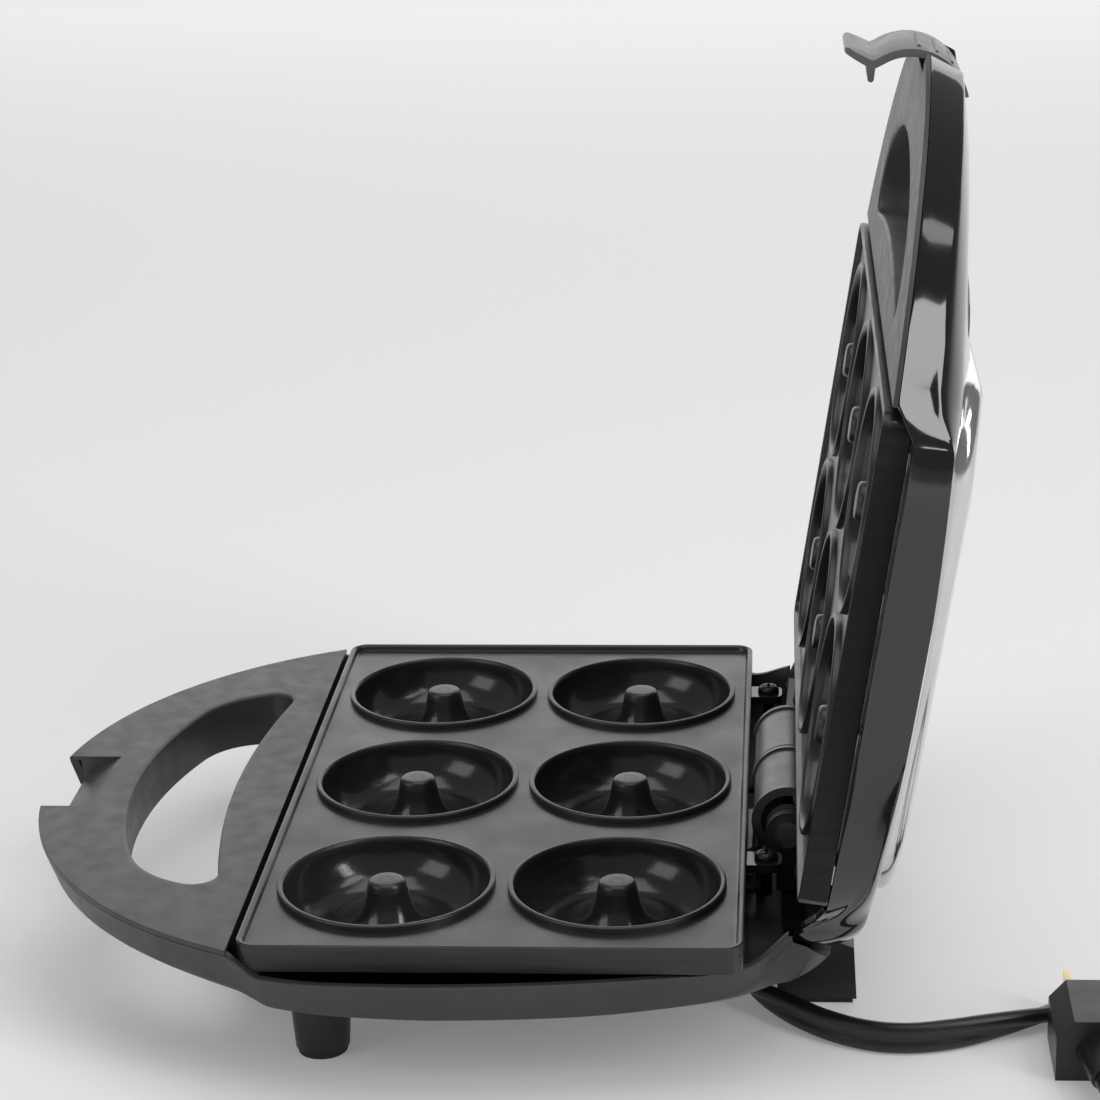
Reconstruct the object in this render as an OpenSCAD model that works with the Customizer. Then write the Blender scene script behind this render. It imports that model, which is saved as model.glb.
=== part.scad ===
// Six-cavity donut maker: a base and a hinged lid, each with a heated plate, closed by a front latch.
// Millimetres, +Z up. The feet stand on z = 0 and the handles point towards -Y.
// Each half is drawn in its own depth frame: z = 0 is the plane where the closed halves meet,
// and z grows into the housing. in_base() turns that frame over, in_lid() swings it open.

/* [Heating plates] */
// Width of each heating plate, side to side
plate_w = 221; // [219:0.5:222]
// Length of each heating plate, front to back
plate_l = 130; // [129:0.5:130]
// Height of the bead round the plate and of each cavity's lip
rim_h = 1.75; // [1:0.25:2]
// Depth of each ring-shaped cavity below the plate's deck
cavity_depth = 11.5; // [9:0.5:12]
// Outer diameter of each cavity's lip
cavity_d = 58.3; // [54:0.1:59]
// Spacing of the three columns of cavities
pitch_x = 69.9; // [68:0.1:70]
// Spacing of the two rows of cavities
pitch_y = 61.6; // [60:0.1:62]
// Diameter of the post in the middle of each cavity
post_d = 9.6; // [8:0.2:11]

/* [Housing] */
// Height of the meeting plane above the floor
part_z = 44; // [43:0.5:46]
// Wall thickness of the two housings
wall = 2.4; // [2:0.1:2.6]
// Depth of each housing's crown below the meeting plane
crown = 29.7; // [29.5:0.1:31]
// How far the lid's steel panel stands proud of its housing
panel_h = 4; // [3:0.5:5]

/* [Handles] */
// Radius of the arc round the front of the handles
handle_r = 121; // [121:1:122]
// Half width of the thumb notch in the base's handle
notch_w = 18.3; // [18:0.1:19]

/* [Hinge] */
// How far the lid opens from closed
open_angle = 99; // [95:1:100]
// Outer radius of the wire barrel round the hinge axis
barrel_r = 9.5; // [9:0.1:9.8]
// Radius of the hinge pins
pin_r = 2.5; // [2:0.1:2.6]

/* [Mains cord] */
// Width of the flat twin cord
cord_w = 8.6; // [8:0.1:9]
// Thickness of the flat twin cord
cord_t = 4.3; // [4:0.1:4.4]
// Radius of the middle of the coil's turns
coil_r = 46; // [44:1:48]

/* [Hidden] */
$fn = 48;

plate_y = 3.5;         // the plates' centre, which puts the open appliance's box over the origin
fit = 0.3;             // clearance between neighbouring pieces
meet = 0.25;           // half of the gap between the closed plates
deck_d = meet + rim_h; // depth of both decks
skirt_d = 7.7;         // depth of the plate's skirt
hinge_y = 76.2;        // the hinge axis lies in the meeting plane
cover_t = 1.2;         // the part of the handle cover that lies on the wall
rear_wall_y = 70.6;    // front face of the wall behind the plates
body_y = -68;          // where the handle ends and the body starts

// ---- The housing's outline: arcs that run into each other, from the front round to the back ----
arc_a = [-90, -22, -3, 12.5, 84, 90];
arc_r3 = [handle_r, 75, 345, 52];
arc_steps = [13, 6, 5, 12, 2];

// Centre of arc i of a chain whose arcs meet at the angles a
function arc_centre(c, r, a, i) =
    i == 0 ? c : arc_centre(c, r, a, i - 1) + (r[i - 1] - r[i]) * [cos(a[i]), sin(a[i])];
outline_c = [0, -17.5];
corner_c = arc_centre(outline_c, arc_r3, arc_a, 3);
arc_r = concat(arc_r3, [arc_r3[3] + corner_c.x / cos(arc_a[4])]);

// Every vertex as [centre x, centre y, radius, angle, side]
half_vertices = [for (i = [0:4], k = [0:arc_steps[i] - 1])
    let (c = arc_centre(outline_c, arc_r, arc_a, i))
    [c.x, c.y, arc_r[i], arc_a[i] + (arc_a[i + 1] - arc_a[i]) * k / arc_steps[i], 1]];
last_c = arc_centre(outline_c, arc_r, arc_a, 4);
vertices = concat(half_vertices, [[last_c.x, last_c.y, arc_r[4], 90, 1]],
    [for (k = [len(half_vertices) - 1:-1:1]) [for (m = [0:4]) m < 4 ? half_vertices[k][m] : -1]]);
around = len(vertices);

function edge(v, inset) =
    [v[4] * (v[0] + (v[2] - inset) * cos(v[3])), v[1] + (v[2] - inset) * sin(v[3])];
function outline(inset) = [for (v = vertices) edge(v, inset)];

// ---- The housing's skin ----
dome_r = 700;
dome_y = 5;
slope = 0.185;   // how fast the handle thins towards the front
handle_wall = 12; // depth of the handle's outer wall
function step(a, b, x) = let (t = max(0, min(1, (x - a) / (b - a)))) t * t * (3 - 2 * t);
function dome(x, y) = crown - x * x / (2 * dome_r)
    - (y < body_y ? pow(body_y - dome_y, 2) / (2 * dome_r) - slope * (y - body_y)
                  : pow(y - dome_y, 2) / (2 * dome_r));
// Depth of the wall's top edge: under the handle cover, beside the plate, and at the rear corner
function rim_depth(y) = deck_d + cover_t + 4.9 * step(-67.5, -59, y) - 6.9 * step(65, 82, y);
// Depth of the crease between wall and dome, which sweeps up to the rim at the rear corner
function sweep(y) = y < 58 ? 1 : y > 82 ? 0 : pow(1 - pow((y - 58) / 24, 2), 0.6);
function crease_depth(x, y) = max(rim_depth(y) + 0.3,
    handle_wall + (min(dome(x * 0.93, y), 20.8 - 0.0019 * pow(max(0, y - 20), 2)) * sweep(y)
    - handle_wall) * step(-72, -58, y));
function crease_inset(v) = let (p = edge(v, 0))
    (crease_depth(p.x, p.y) - rim_depth(p.y)) * (0.34 + 0.19 * step(-72, -58, p.y));
function edge_width(y) = 14 - 8 * step(-72, -58, y) + 2 * step(60, 82, y);

// A point of the wall, t from 0 at the rim to 1 at the crease
function on_wall(v, t, w) =
    let (p0 = edge(v, 0), r = rim_depth(p0.y), c = crease_depth(p0.x, p0.y),
         p = edge(v, crease_inset(v) * t + w))
    [p.x, p.y, max(r + (c - r) * t - w * t * 0.5, r + 0.05 * t)];
// A point of the rounding past the crease, q from 0 to 1
function on_edge(v, q, w) =
    let (p0 = edge(v, 0), c = crease_depth(p0.x, p0.y), r = rim_depth(p0.y),
         p = edge(v, crease_inset(v) + edge_width(p0.y) * q + w))
    [p.x, p.y, max(c + max(0, dome(p.x, p.y) - c) * sqrt(1 - pow(1 - q, 2)) - w, r + 0.1 + q * 0.1)];
middle = [0, -15];
function on_dome(v, f, w) =
    let (e = on_edge(v, 1, w), p = middle + f * ([e.x, e.y] - middle))
    [p.x, p.y, dome(p.x, p.y) - w];

skin_rings = concat(
    [for (f = [0.3, 0.65]) [for (v = vertices) on_dome(v, f, wall)]],
    [for (q = [1, 0.5, 0.15]) [for (v = vertices) on_edge(v, q, wall)]],
    [for (t = [1, 0.5, 0]) [for (v = vertices) on_wall(v, t, wall)]],
    [for (t = [0, 0.5, 1]) [for (v = vertices) on_wall(v, t, 0)]],
    [for (q = [0.08, 0.25, 0.55, 1]) [for (v = vertices) on_edge(v, q, 0)]],
    [for (f = [0.75, 0.5, 0.25]) [for (v = vertices) on_dome(v, f, 0)]]);

// The open tray that both housings start from
module skin() {
    n = around;
    rings = len(skin_rings);
    last = rings * n + 1;
    points = concat([for (ring = skin_rings, p = ring) p],
        [[middle.x, middle.y, dome(middle.x, middle.y) - wall],
         [middle.x, middle.y, dome(middle.x, middle.y)]]);
    faces = concat(
        [for (j = [0:n - 1]) [rings * n, j, (j + 1) % n]],
        [for (i = [0:rings - 2], j = [0:n - 1]) [i * n + j, (i + 1) * n + j, i * n + (j + 1) % n]],
        [for (i = [0:rings - 2], j = [0:n - 1])
            [i * n + (j + 1) % n, (i + 1) * n + j, (i + 1) * n + (j + 1) % n]],
        [for (j = [0:n - 1]) [(rings - 1) * n + j, last, (rings - 1) * n + (j + 1) % n]]);
    polyhedron(points, faces, convexity = 8);
}

// ---- The hand hole: an outer arc, two rounded ends and an inner arc that bulges forward ----
hole_a = [-90, -70, -20, 100.7, 90];
hole_r = [150, 30, 6, -337];
hole_steps = [5, 5, 8, 6];
hole_c = [0, 37.4];
hole_half = [for (i = [0:3], k = [0:hole_steps[i] - 1])
    let (c = arc_centre(hole_c, hole_r, hole_a, i),
         a = hole_a[i] + (hole_a[i + 1] - hole_a[i]) * k / hole_steps[i])
    [c.x, c.y, hole_r[i], a]];
function hole_point(v, grow) = [v[0] + (v[2] + grow) * cos(v[3]), v[1] + (v[2] + grow) * sin(v[3])];
function hand_hole(grow) =
    let (right = [for (v = hole_half) hole_point(v, grow)])
    concat(right, [[0, -83.6 + grow]], [for (k = [len(right) - 1:-1:1]) [-right[k].x, right[k].y]]);

// ---- Frames ----
module in_base() translate([0, plate_y, part_z]) mirror([0, 0, 1]) children();
module in_lid() translate([0, plate_y + hinge_y, part_z]) rotate([-open_angle, 0, 0])
    translate([0, -hinge_y, 0]) children();
module on_floor() translate([0, plate_y, 0]) children();
module both_sides() {
    children();
    mirror([1, 0, 0]) children();
}
// A plate with round corners, from z0 to z1
module slab(w, l, r, z0, z1) {
    translate([0, 0, z0]) linear_extrude(z1 - z0) {
        square([w - 2 * r, l], center = true);
        square([w, l - 2 * r], center = true);
        for (x = [-1, 1], y = [-1, 1]) translate([x * (w / 2 - r), y * (l / 2 - r)]) circle(r);
    }
}
// A block given by its lowest and highest corners
module block(a, b) translate(a) cube(b - a);
module rod(x, y, z0, z1, r) translate([x, y, z0]) cylinder(r = r, h = z1 - z0);
// A rod along X on the hinge axis
module axle(x0, x1, r) translate([x0, hinge_y, 0]) rotate([0, 90, 0]) cylinder(r = r, h = x1 - x0);

// ---- Housings ----
boss_x = [-76, 49]; // the plate's two lugs; turned over, the lid's plate has them mirrored
boss_y = 70.3;
lug_d = 3.2;
lug_t = 2.4;
module hole_prism(grow, z0, z1) translate([0, 0, z0]) linear_extrude(z1 - z0) polygon(hand_hole(grow));
cable_hole_r = 6; // the cord's wires pass here, between the service cover and the terminals
module rear_wall() difference() {
    block([-92, rear_wall_y, 10], [92, rear_wall_y + wall, 20.6]);
    for (x = [-26, 26]) translate([x, 60, 18.5]) rotate([-90, 0, 0]) cylinder(r = 2, h = 20);
}
module bosses(side) for (x = boss_x)
    translate([side * x, boss_y, lug_d + lug_t]) cylinder(r = 3.6, h = 15.4);
// The space that the open lid's rear takes, with some room round it
module open_lid_room() mirror([0, 0, 1]) translate([0, hinge_y, 0]) rotate([-open_angle, 0, 0])
    translate([0, -hinge_y, 0.4]) linear_extrude(60)
    intersection() {
        polygon(outline(-1));
        translate([-130, 60]) square([260, 60]);
    }
lamp_x = 9;
lamp_y = -23.5;
module lamp_holes(r) for (x = [-lamp_x, lamp_x]) rod(x, lamp_y, 20, 40, r);

module base_shell() color([0.12, 0.12, 0.13]) in_base() {
    difference() {
        skin();
        hole_prism(2.3, -1, 40);
        open_lid_room();
        block([-notch_w, -145, -1], [notch_w, -130.6, 25]);
        block([-notch_w, -132, -1], [notch_w, -124.5, 12.6]);
        rod(0, 0, 20, 40, cable_hole_r);
    }
    rear_wall();
    bosses(1);
}

module lid_shell() color([0.05, 0.05, 0.055]) in_lid() {
    difference() {
        skin();
        hole_prism(2.3, -1, 40);
        latch_slot();
        pin_rod(pin_half);
        lamp_holes(4.3);
    }
    difference() {
        along_x(2 * notch_w + 5.2) difference() {
            intersection() {
                translate(slot_c) circle(slot_r);
                polygon([[-134, 4.4], [-131, 11.8], [-128, 13.2], [-120.4, 14], [-120.4, 4.4]]);
            }
            translate(slot_c) circle(slot_r - 1.7);
            translate(pin_at) circle(3.4);
        }
        block([-notch_w - 0.1, -145, 13], [notch_w + 0.1, -110, 20]);
    }
    both_sides() difference() {
        translate([notch_w + 0.1, 0, 0]) rotate([90, 0, 90]) linear_extrude(2.5)
            polygon([[-131, 4.4], [-131, 11.8], [-128, 13.2], [-119, 14], [-119, 4.4]]);
        pin_rod(pin_half);
    }
    rear_wall();
    bosses(-1);
}

// The deck of a handle with its rear wall and the lining of the hand hole
tube_t = 2;
module handle_skin(less) translate([0, body_y, dome(0, body_y) - less]) rotate([atan(slope), 0, 0])
    translate([0, 0, -dome_r]) rotate([90, 0, 0]) cylinder(r = dome_r, h = 260, center = true, $fn = 180);
module handle_cover() {
    difference() {
        union() {
            translate([0, 0, deck_d]) linear_extrude(cover_t) intersection() {
                polygon(outline(0));
                translate([-130, -150]) square([260, 150 + body_y + 0.8]);
            }
            translate([0, 0, deck_d + cover_t]) linear_extrude(1) intersection() {
                polygon(outline(wall + 2 * fit));
                translate([-130, -150]) square([260, 150 + body_y + 0.8]);
            }
        }
        hole_prism(0, -1, 40);
    }
    block([-100.5, body_y - 1.4, deck_d + 1], [100.5, body_y + 0.8, 13]);
    intersection() {
        difference() {
            hole_prism(tube_t, deck_d + 0.5, 40);
            hole_prism(0, deck_d, 41);
        }
        handle_skin(0.2);
    }
}

// Thumb ramp of the base: falls from the deck to the lip that the latch's tooth hooks under
ramp_y = -121.5;
lip = [-132, 7.7];
module base_handle_cover() color([0.2, 0.2, 0.21]) in_base() {
    difference() {
        handle_cover();
        block([-notch_w, -145, -1], [notch_w, ramp_y, 6]);
    }
    along_x(2 * notch_w) polygon([[ramp_y + 1.5, deck_d], [ramp_y + 1.5, deck_d + 2.2],
        [ramp_y - 1, deck_d + 3.2], [lip.x + 2.5, lip.y + 0.9], [lip.x + 0.8, lip.y + 0.8], lip,
        [ramp_y, deck_d]]);
    both_sides() translate([notch_w - 0.05, 0, 0]) rotate([90, 0, 90]) linear_extrude(1.6)
        polygon([[-133.6, 3.1], [-133, 9.4], [-119.8, 9.4], [-119.8, 3.1]]);
}
module lid_handle_cover() color([0.3, 0.3, 0.31]) in_lid() difference() {
    handle_cover();
    latch_slot();
}

// Raised field on both housings: steel panel on the lid, service cover under the base
function field(side_in, front_y, rear_y) = let (r = 22, w = 118 - side_in)
    concat([for (a = [-90:15:0]) [w - r + r * cos(a), front_y + r + r * sin(a)]],
        [for (a = [0:15:90]) [w - r + r * cos(a), rear_y - r + r * sin(a)]],
        [for (a = [90:15:180]) [-w + r + r * cos(a), rear_y - r + r * sin(a)]],
        [for (a = [180:15:270]) [-w + r + r * cos(a), front_y + r + r * sin(a)]]);
module crown_ball(less) translate([0, dome_y, crown - less - dome_r]) sphere(r = dome_r, $fn = 180);
module raised_cap(side_in, front_y, rear_y, t, high) difference() {
    intersection() {
        translate([0, 0, 15]) linear_extrude(25) polygon(field(side_in, front_y, rear_y));
        crown_ball(-high);
    }
    intersection() {
        translate([0, 0, 10]) linear_extrude(35)
            polygon(field(side_in + t, front_y + t, rear_y - t));
        crown_ball(-high + t);
    }
    crown_ball(-0.05);
}
module lid_top_panel() color([0.75, 0.75, 0.76]) in_lid() difference() {
    raised_cap(36, -64, 77, 0.9, panel_h);
    lamp_holes(4.2);
}
exit_at = [22, 40, 37.5]; // where the cord leaves the service cover, in the depth frame
exit_turn = 39;
module at_exit() translate(exit_at) rotate([0, 0, exit_turn]) children();
module bottom_cover() color([0.1, 0.1, 0.105]) in_base() difference() {
    union() {
        raised_cap(47, -58, 70, 2, panel_h);
        at_exit() block([-9, -9, -6], [3, 9, 4]);
    }
    at_exit() block([-7, -5, -9], [4, 5, 2.6]);
}

// ---- Heating plates ----
ring_r = cavity_d / 4 + 2;
trough_w = cavity_d / 2 - 1.75 - post_d / 2 - 1;
module cavity_cup() {
    lip = cavity_d / 2;
    mid = post_d / 2 + 1 + trough_w / 2;
    rotate_extrude($fn = 72) polygon(concat(
        [[lip, deck_d + 2], [lip, meet + 0.4], [lip - 0.4, meet], [lip - 1.3, meet]],
        [for (a = [0:12:180]) [mid + trough_w / 2 * cos(a), meet + 0.4 + (cavity_depth + 1.35) * sin(a)]],
        [[post_d / 2, meet + 0.4], [post_d / 2 - 0.6, meet], [0, meet], [0, deck_d + 2.2]],
        [for (a = [168:-12:12]) [mid + (trough_w / 2 + 2.1) * cos(a),
            deck_d + 0.4 + (cavity_depth + 1.8) * sin(a)]]));
}
module heating_plate() {
    difference() {
        slab(plate_w, plate_l, 5, meet, skirt_d);
        slab(plate_w - 4, plate_l - 4, 4, -1, deck_d);
        slab(plate_w - 6, plate_l - 6, 3, deck_d + 3, skirt_d + 1);
        for (i = [-1:1], j = [-0.5, 0.5]) rod(i * pitch_x, j * pitch_y, -2, 20, cavity_d / 2 - 1);
    }
    for (i = [-1:1], j = [-0.5, 0.5]) translate([i * pitch_x, j * pitch_y, 0]) cavity_cup();
    for (x = boss_x) difference() {
        block([x - 4.5, plate_l / 2 - 1, lug_d], [x + 4.5, boss_y + 4.2, lug_d + lug_t]);
        rod(x, boss_y, 0, 20, 2.1);
    }
}
module lower_plate() color([0.16, 0.16, 0.17]) in_base() heating_plate();
module upper_plate() color([0.16, 0.16, 0.17]) in_lid() mirror([1, 0, 0]) heating_plate();

// Screws through the lugs
module plate_screws() for (x = boss_x) {
    rod(x, boss_y, lug_d - 2.3, lug_d - 0.02, 3.3);
    rod(x, boss_y, lug_d - 0.1, lug_d + lug_t + 8, 1.6);
}
module lower_plate_screws() color([0.06, 0.06, 0.06]) in_base() plate_screws();
module upper_plate_screws() color([0.06, 0.06, 0.06]) in_lid() mirror([1, 0, 0]) plate_screws();

// Tubular heater: a U under the cavities, with a cold pin at each end
heater_r = 3;
heater_x = 35;
heater_d = deck_d + 0.4 + cavity_depth + 1.8 + heater_r + 0.05;
bend_r = 16;
module heater() {
    for (s = [-1, 1]) {
        translate([s * heater_x, -22, heater_d]) rotate([-90, 0, 0]) cylinder(r = heater_r, h = 78);
        translate([s * heater_x, 55.9, heater_d]) rotate([-90, 0, 0]) cylinder(r = 1.4, h = 8);
        translate([s * (heater_x - bend_r), -22, heater_d]) rotate([0, 0, s > 0 ? -90 : -180])
            rotate_extrude(angle = 90) translate([bend_r, 0]) circle(heater_r);
    }
    translate([bend_r - heater_x, -22 - bend_r, heater_d]) rotate([0, 90, 0])
        cylinder(r = heater_r, h = 2 * (heater_x - bend_r));
}
module lower_element() color([0.35, 0.34, 0.33]) in_base() heater();
module upper_element() color([0.35, 0.34, 0.33]) in_lid() heater();

// Sheet-metal pan that keeps the heat off the housing
pan_d = heater_d + heater_r + 0.7;
pan_t = 0.6;
ring_d = skirt_d + 0.6;
module pan_solid(out, top) hull() {
    block([-99.5 - out, -59.5 - out, ring_d - top], [99.5 + out, 59.5 + out, 11 + out]);
    block([-88 - out, -50 - out, 17.6], [88 + out, 50 + out, 18 + out]);
    block([-44 - out, -45 - out, pan_d - 1], [44 + out, 45 + out, pan_d + out]);
}
module reflector() {
    difference() {
        pan_solid(pan_t, 0);
        pan_solid(0, 1);
        for (s = [-1, 1]) block([s * heater_x - 4.5, 30, ring_d],
            [s * heater_x + 4.5, 70, heater_d + 4]);
    }
    difference() {
        slab(213, 126, 16, skirt_d, ring_d);
        slab(199, 119, 2, skirt_d - 1, ring_d + 1);
    }
    for (s = [-1, 1], y = [-54, -18, 19, 55])
        block([s * 106.5 - 3, y - 2.5, skirt_d], [s * 106.5 + 3, y + 2.5, skirt_d + 0.35]);
}
module lower_reflector() color([0.7, 0.7, 0.7]) in_base() reflector();
module upper_reflector() color([0.7, 0.7, 0.7]) in_lid() reflector();

// ---- Electrical pieces ----
back_d = deck_d + 3; // the plates' back face between the cavities
module thermostat() color([0.85, 0.82, 0.75]) in_base() {
    rod(pitch_x / 2, 0, back_d, back_d + 5, 8);
    rod(pitch_x / 2, 0, back_d + 5, back_d + 8.5, 5.5);
}
module thermal_fuse() color([0.8, 0.8, 0.82]) in_lid()
    translate([pitch_x / 2 - 6, 0, back_d + 2.1]) rotate([0, 90, 0]) cylinder(r = 2, h = 12);
module terminal_block() color([0.9, 0.88, 0.82]) in_base() difference() {
    block([-15, 56.5, 16.5], [15, 66, 24.2]);
    for (x = [-10, 0, 10]) rod(x, 61.2, 10, 22, 1.7);
}
wire_r = 1.2;
module wire(a, b) let (d = b - a, l = norm(d)) translate(a)
    rotate([0, acos(d.z / l), atan2(d.y, d.x)]) cylinder(r = wire_r, h = l, $fn = 16);
module harness(path) for (i = [0:len(path) - 2])
    wire(path[i], path[i + 1] + (i < len(path) - 2 ? 0.9 * unit(path[i + 1] - path[i]) : [0, 0, 0]));
module base_wiring() color([0.1, 0.09, 0.08]) in_base() {
    for (s = [-1, 1]) harness([[s * 10, 66.1, 20], [s * 10, 68.2, 20], [s * 33, 68.2, 20],
        [s * heater_x, 66.6, heater_d], [s * heater_x, 64, heater_d]]);
    harness([[0, 66.1, 20], [0, 68.2, 20], [0, 68.2, 10], [28, 67.5, 10], [pitch_x / 2, 62, 10],
        [pitch_x / 2, 8.1, 9.5]]);
}
module lid_wiring() color([0.1, 0.09, 0.08]) in_lid() {
    for (y = [-1.3, 1.3]) translate([-22, hinge_y + y, 0]) rotate([0, 90, 0]) cylinder(r = wire_r, h = 44);
    harness([[22.9, hinge_y - 1.3, 0], [26, hinge_y - 1.3, 4], [26, hinge_y - 1.3, 18.5], [26, 67, 18.5],
        [heater_x, 66.6, heater_d], [heater_x, 64, heater_d]]);
    harness([[-22, hinge_y - 1.3, 0], [-26, hinge_y - 1.3, 4]]);
}

// ---- Hinge ----
module barrel(x0, x1) {
    difference() {
        union() {
            axle(x0, x1, barrel_r);
            axle(x0, x0 + 1.6, barrel_r + 0.6);
            axle(x1 - 1.6, x1, barrel_r + 0.6);
            block([x0 + 2, rear_wall_y + wall + 0.02, 6], [x1 - 2, hinge_y + 1, 17]);
        }
        axle(x0 - 1, x1 + 1, barrel_r - 1.9);
        rod(x0 + x1 > 0 ? 26 : -26, hinge_y - 1.3, 0, 20, 1.7);
    }
}
module hinge_barrel_base() color([0.33, 0.33, 0.34]) in_base() barrel(-31, -0.3);
module hinge_barrel_lid() color([0.33, 0.33, 0.34]) in_lid() barrel(0.3, 31);
module ear(x, hole) difference() {
    union() {
        axle(x, x + 3, 6);
        block([x, rear_wall_y + wall + 0.02, 0], [x + 3, hinge_y + 3.5, 17]);
    }
    axle(x - 1, x + 4, hole);
}
module hinge_ears_base() color([0.15, 0.15, 0.15]) in_base() both_sides() ear(36.4, pin_r);
module hinge_ears_lid() color([0.15, 0.15, 0.15]) in_lid() both_sides() ear(33, pin_r + 0.05);
module hinge_pins() color([0.8, 0.8, 0.8]) in_base() both_sides() {
    axle(32.5, 39.5, pin_r);
    axle(39.42, 41, pin_r + 1.3);
}

// ---- Feet and housing screws ----
front_foot = [82.5, -48];
rear_foot_x = 48;
pad_t = 1.6;
module front_feet() color([0.06, 0.06, 0.06]) on_floor() both_sides()
    translate([front_foot.x, front_foot.y, pad_t])
    cylinder(r1 = 7.2, r2 = 8.6, h = part_z - dome(front_foot.x, front_foot.y) - pad_t + 0.6);
module rear_feet() color([0.06, 0.06, 0.06]) on_floor() both_sides()
    translate([rear_foot_x, 0, 0]) rotate([90, 0, 90]) translate([0, 0, -7]) linear_extrude(14)
    polygon([[73.5, pad_t], [95, pad_t], [94.2, 17], [90, 18.6], [72.5, 19.6]]);
module foot_pads() color([0.03, 0.03, 0.03]) on_floor() both_sides() {
    translate([front_foot.x, front_foot.y, 0]) cylinder(r = 6.6, h = pad_t);
    block([rear_foot_x - 6, 75, 0], [rear_foot_x + 6, 94, pad_t]);
}
screw_at = [[84, -62], [84, 56]];
module housing_screw(x, y, top) {
    rod(x, y, top - 2, top, 3);
    rod(x, y, top - 6, top - 1.9, 1.5);
}

// ---- Mains cord: lies flat, winds once and a half round and ends in its plug ----
// Each point of the two loose stretches is [x, y, z, roll]; a roll of 90 stands the cord on edge
lead = [[44.3, 58.1, 6.5, 0], [50, 62.7, 6, 20], [57, 68.5, 4.6, 55], [66, 76.5, 4.35, 85],
    [75, 86, 4.35, 90], [81, 97, 4.35, 90], [82.6, 108, 4.35, 90], [80, 120, 4.35, 90],
    [74, 133, 3.9, 62], [66, 146, 2.75, 26], [57, 158.5, 2.2, 0], [50, 172, 2.2, 0],
    [44, 183, 2.2, 0], [39.3, 190.5, 2.2, 0], [34.4, 197.9, 2.2, 0]];
coil_c = [73, 223];
tail = [[105.5, 255.5, 6.6, 0], [113, 248, 5.4, 0], [123, 238, 3, 0], [133, 228.5, 2.2, 0],
    [141, 217, 2.2, 0], [145, 203, 2.2, 0], [143.5, 187, 2.2, 0], [136.5, 172, 3, 0],
    [125, 162, 5.6, 0], [112, 158, 8.5, 0]];
plug_at = [97, 158, 8.5];

function unit(v) = v / norm(v);
function place(p) = [p.x, p.y, p.z];
function way(path, i) = unit(place(path[min(i + 1, len(path) - 1)]) - place(path[max(i - 1, 0)]));
module tube(path) {
    sides = 10;
    n = len(path);
    points = [for (i = [0:n - 1], k = [0:sides - 1])
        let (t = way(path, i), side = unit(cross(t, [0, 0, 1])), top = cross(side, t), roll = path[i][3],
            across = side * cos(roll) + top * sin(roll), up = top * cos(roll) - side * sin(roll),
            a = 360 * k / sides)
        place(path[i]) + across * (cord_w / 2) * cos(a) + up * (cord_t / 2) * sin(a)];
    faces = concat([[for (k = [sides - 1:-1:0]) k]],
        [[for (k = [0:sides - 1]) (n - 1) * sides + k]],
        [for (i = [0:n - 2], k = [0:sides - 1])
            [i * sides + k, i * sides + (k + 1) % sides, (i + 1) * sides + k]],
        [for (i = [0:n - 2], k = [0:sides - 1])
            [(i + 1) * sides + k, i * sides + (k + 1) % sides, (i + 1) * sides + (k + 1) % sides]]);
    polyhedron(points, faces, convexity = 6);
}
module strain_relief() color([0.05, 0.05, 0.05]) in_base() at_exit() {
    block([-6.8, -4.8, -2.2], [3.1, 4.8, 2.2]);
    difference() {
        translate([3.02, 0, 0]) rotate([0, 90, 0]) scale([0.62, 1, 1]) cylinder(r1 = 6.4, r2 = 5, h = 23.8);
        translate([26, 0, 0]) rotate([0, 90, 0]) scale([0.62, 1, 1]) cylinder(r = 4.4, h = 2);
    }
}
module cord_lead() color([0.03, 0.03, 0.03]) on_floor() tube(lead);
module cord_tail() color([0.03, 0.03, 0.03]) on_floor() tube(tail);
module cord_coil() color([0.03, 0.03, 0.03]) on_floor() translate([coil_c.x, coil_c.y, 0]) difference() {
    cylinder(r = coil_r + cord_w / 2, h = 2 * cord_t, $fn = 96);
    translate([0, 0, -1]) cylinder(r = coil_r - cord_w / 2, h = 20, $fn = 96);
}
module plug_body() color([0.04, 0.04, 0.04]) on_floor() translate(plug_at) {
    rotate([90, 0, -90]) linear_extrude(24) polygon([[-12.5, -8.5], [12.5, -8.5], [12.5, 3.5], [8, 8.5],
        [-8, 8.5], [-12.5, 3.5]]);
    rotate([0, 90, 0]) scale([0.7, 1, 1]) cylinder(r1 = 7.5, r2 = 5, h = 14.9);
}
module plug_blades() color([0.8, 0.75, 0.6]) on_floor() translate(plug_at)
    for (s = [-1, 1]) translate([-40, s * 6.35 - 0.75, -3.2]) cube([16, 1.5, 6.4]);

module housing_screws_base() color([0.3, 0.3, 0.3]) in_base() both_sides() for (p = screw_at)
    housing_screw(p.x, p.y, dome(p.x, p.y) + 0.2);
module housing_screws_lid() color([0.3, 0.3, 0.3]) in_lid() both_sides() for (p = screw_at)
    rod(p.x, p.y, dome(p.x, p.y) - wall - 3, dome(p.x, p.y) - wall - 0.05, 2.6);

// ---- Lamps ----
module lens(x) {
    rod(x, lamp_y, 25.25, crown + panel_h, 4);
    translate([x, lamp_y, crown + panel_h - 0.8]) scale([1, 1, 0.6]) sphere(r = 4);
}
module power_lens() color([0.8, 0.05, 0.03]) in_lid() lens(-lamp_x);
module ready_lens() color([0.05, 0.6, 0.1]) in_lid() lens(lamp_x);
module lamp_board() color([0.1, 0.35, 0.15]) in_lid() block([-16, -32, 23.6], [16, -16, 25.2]);

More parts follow.
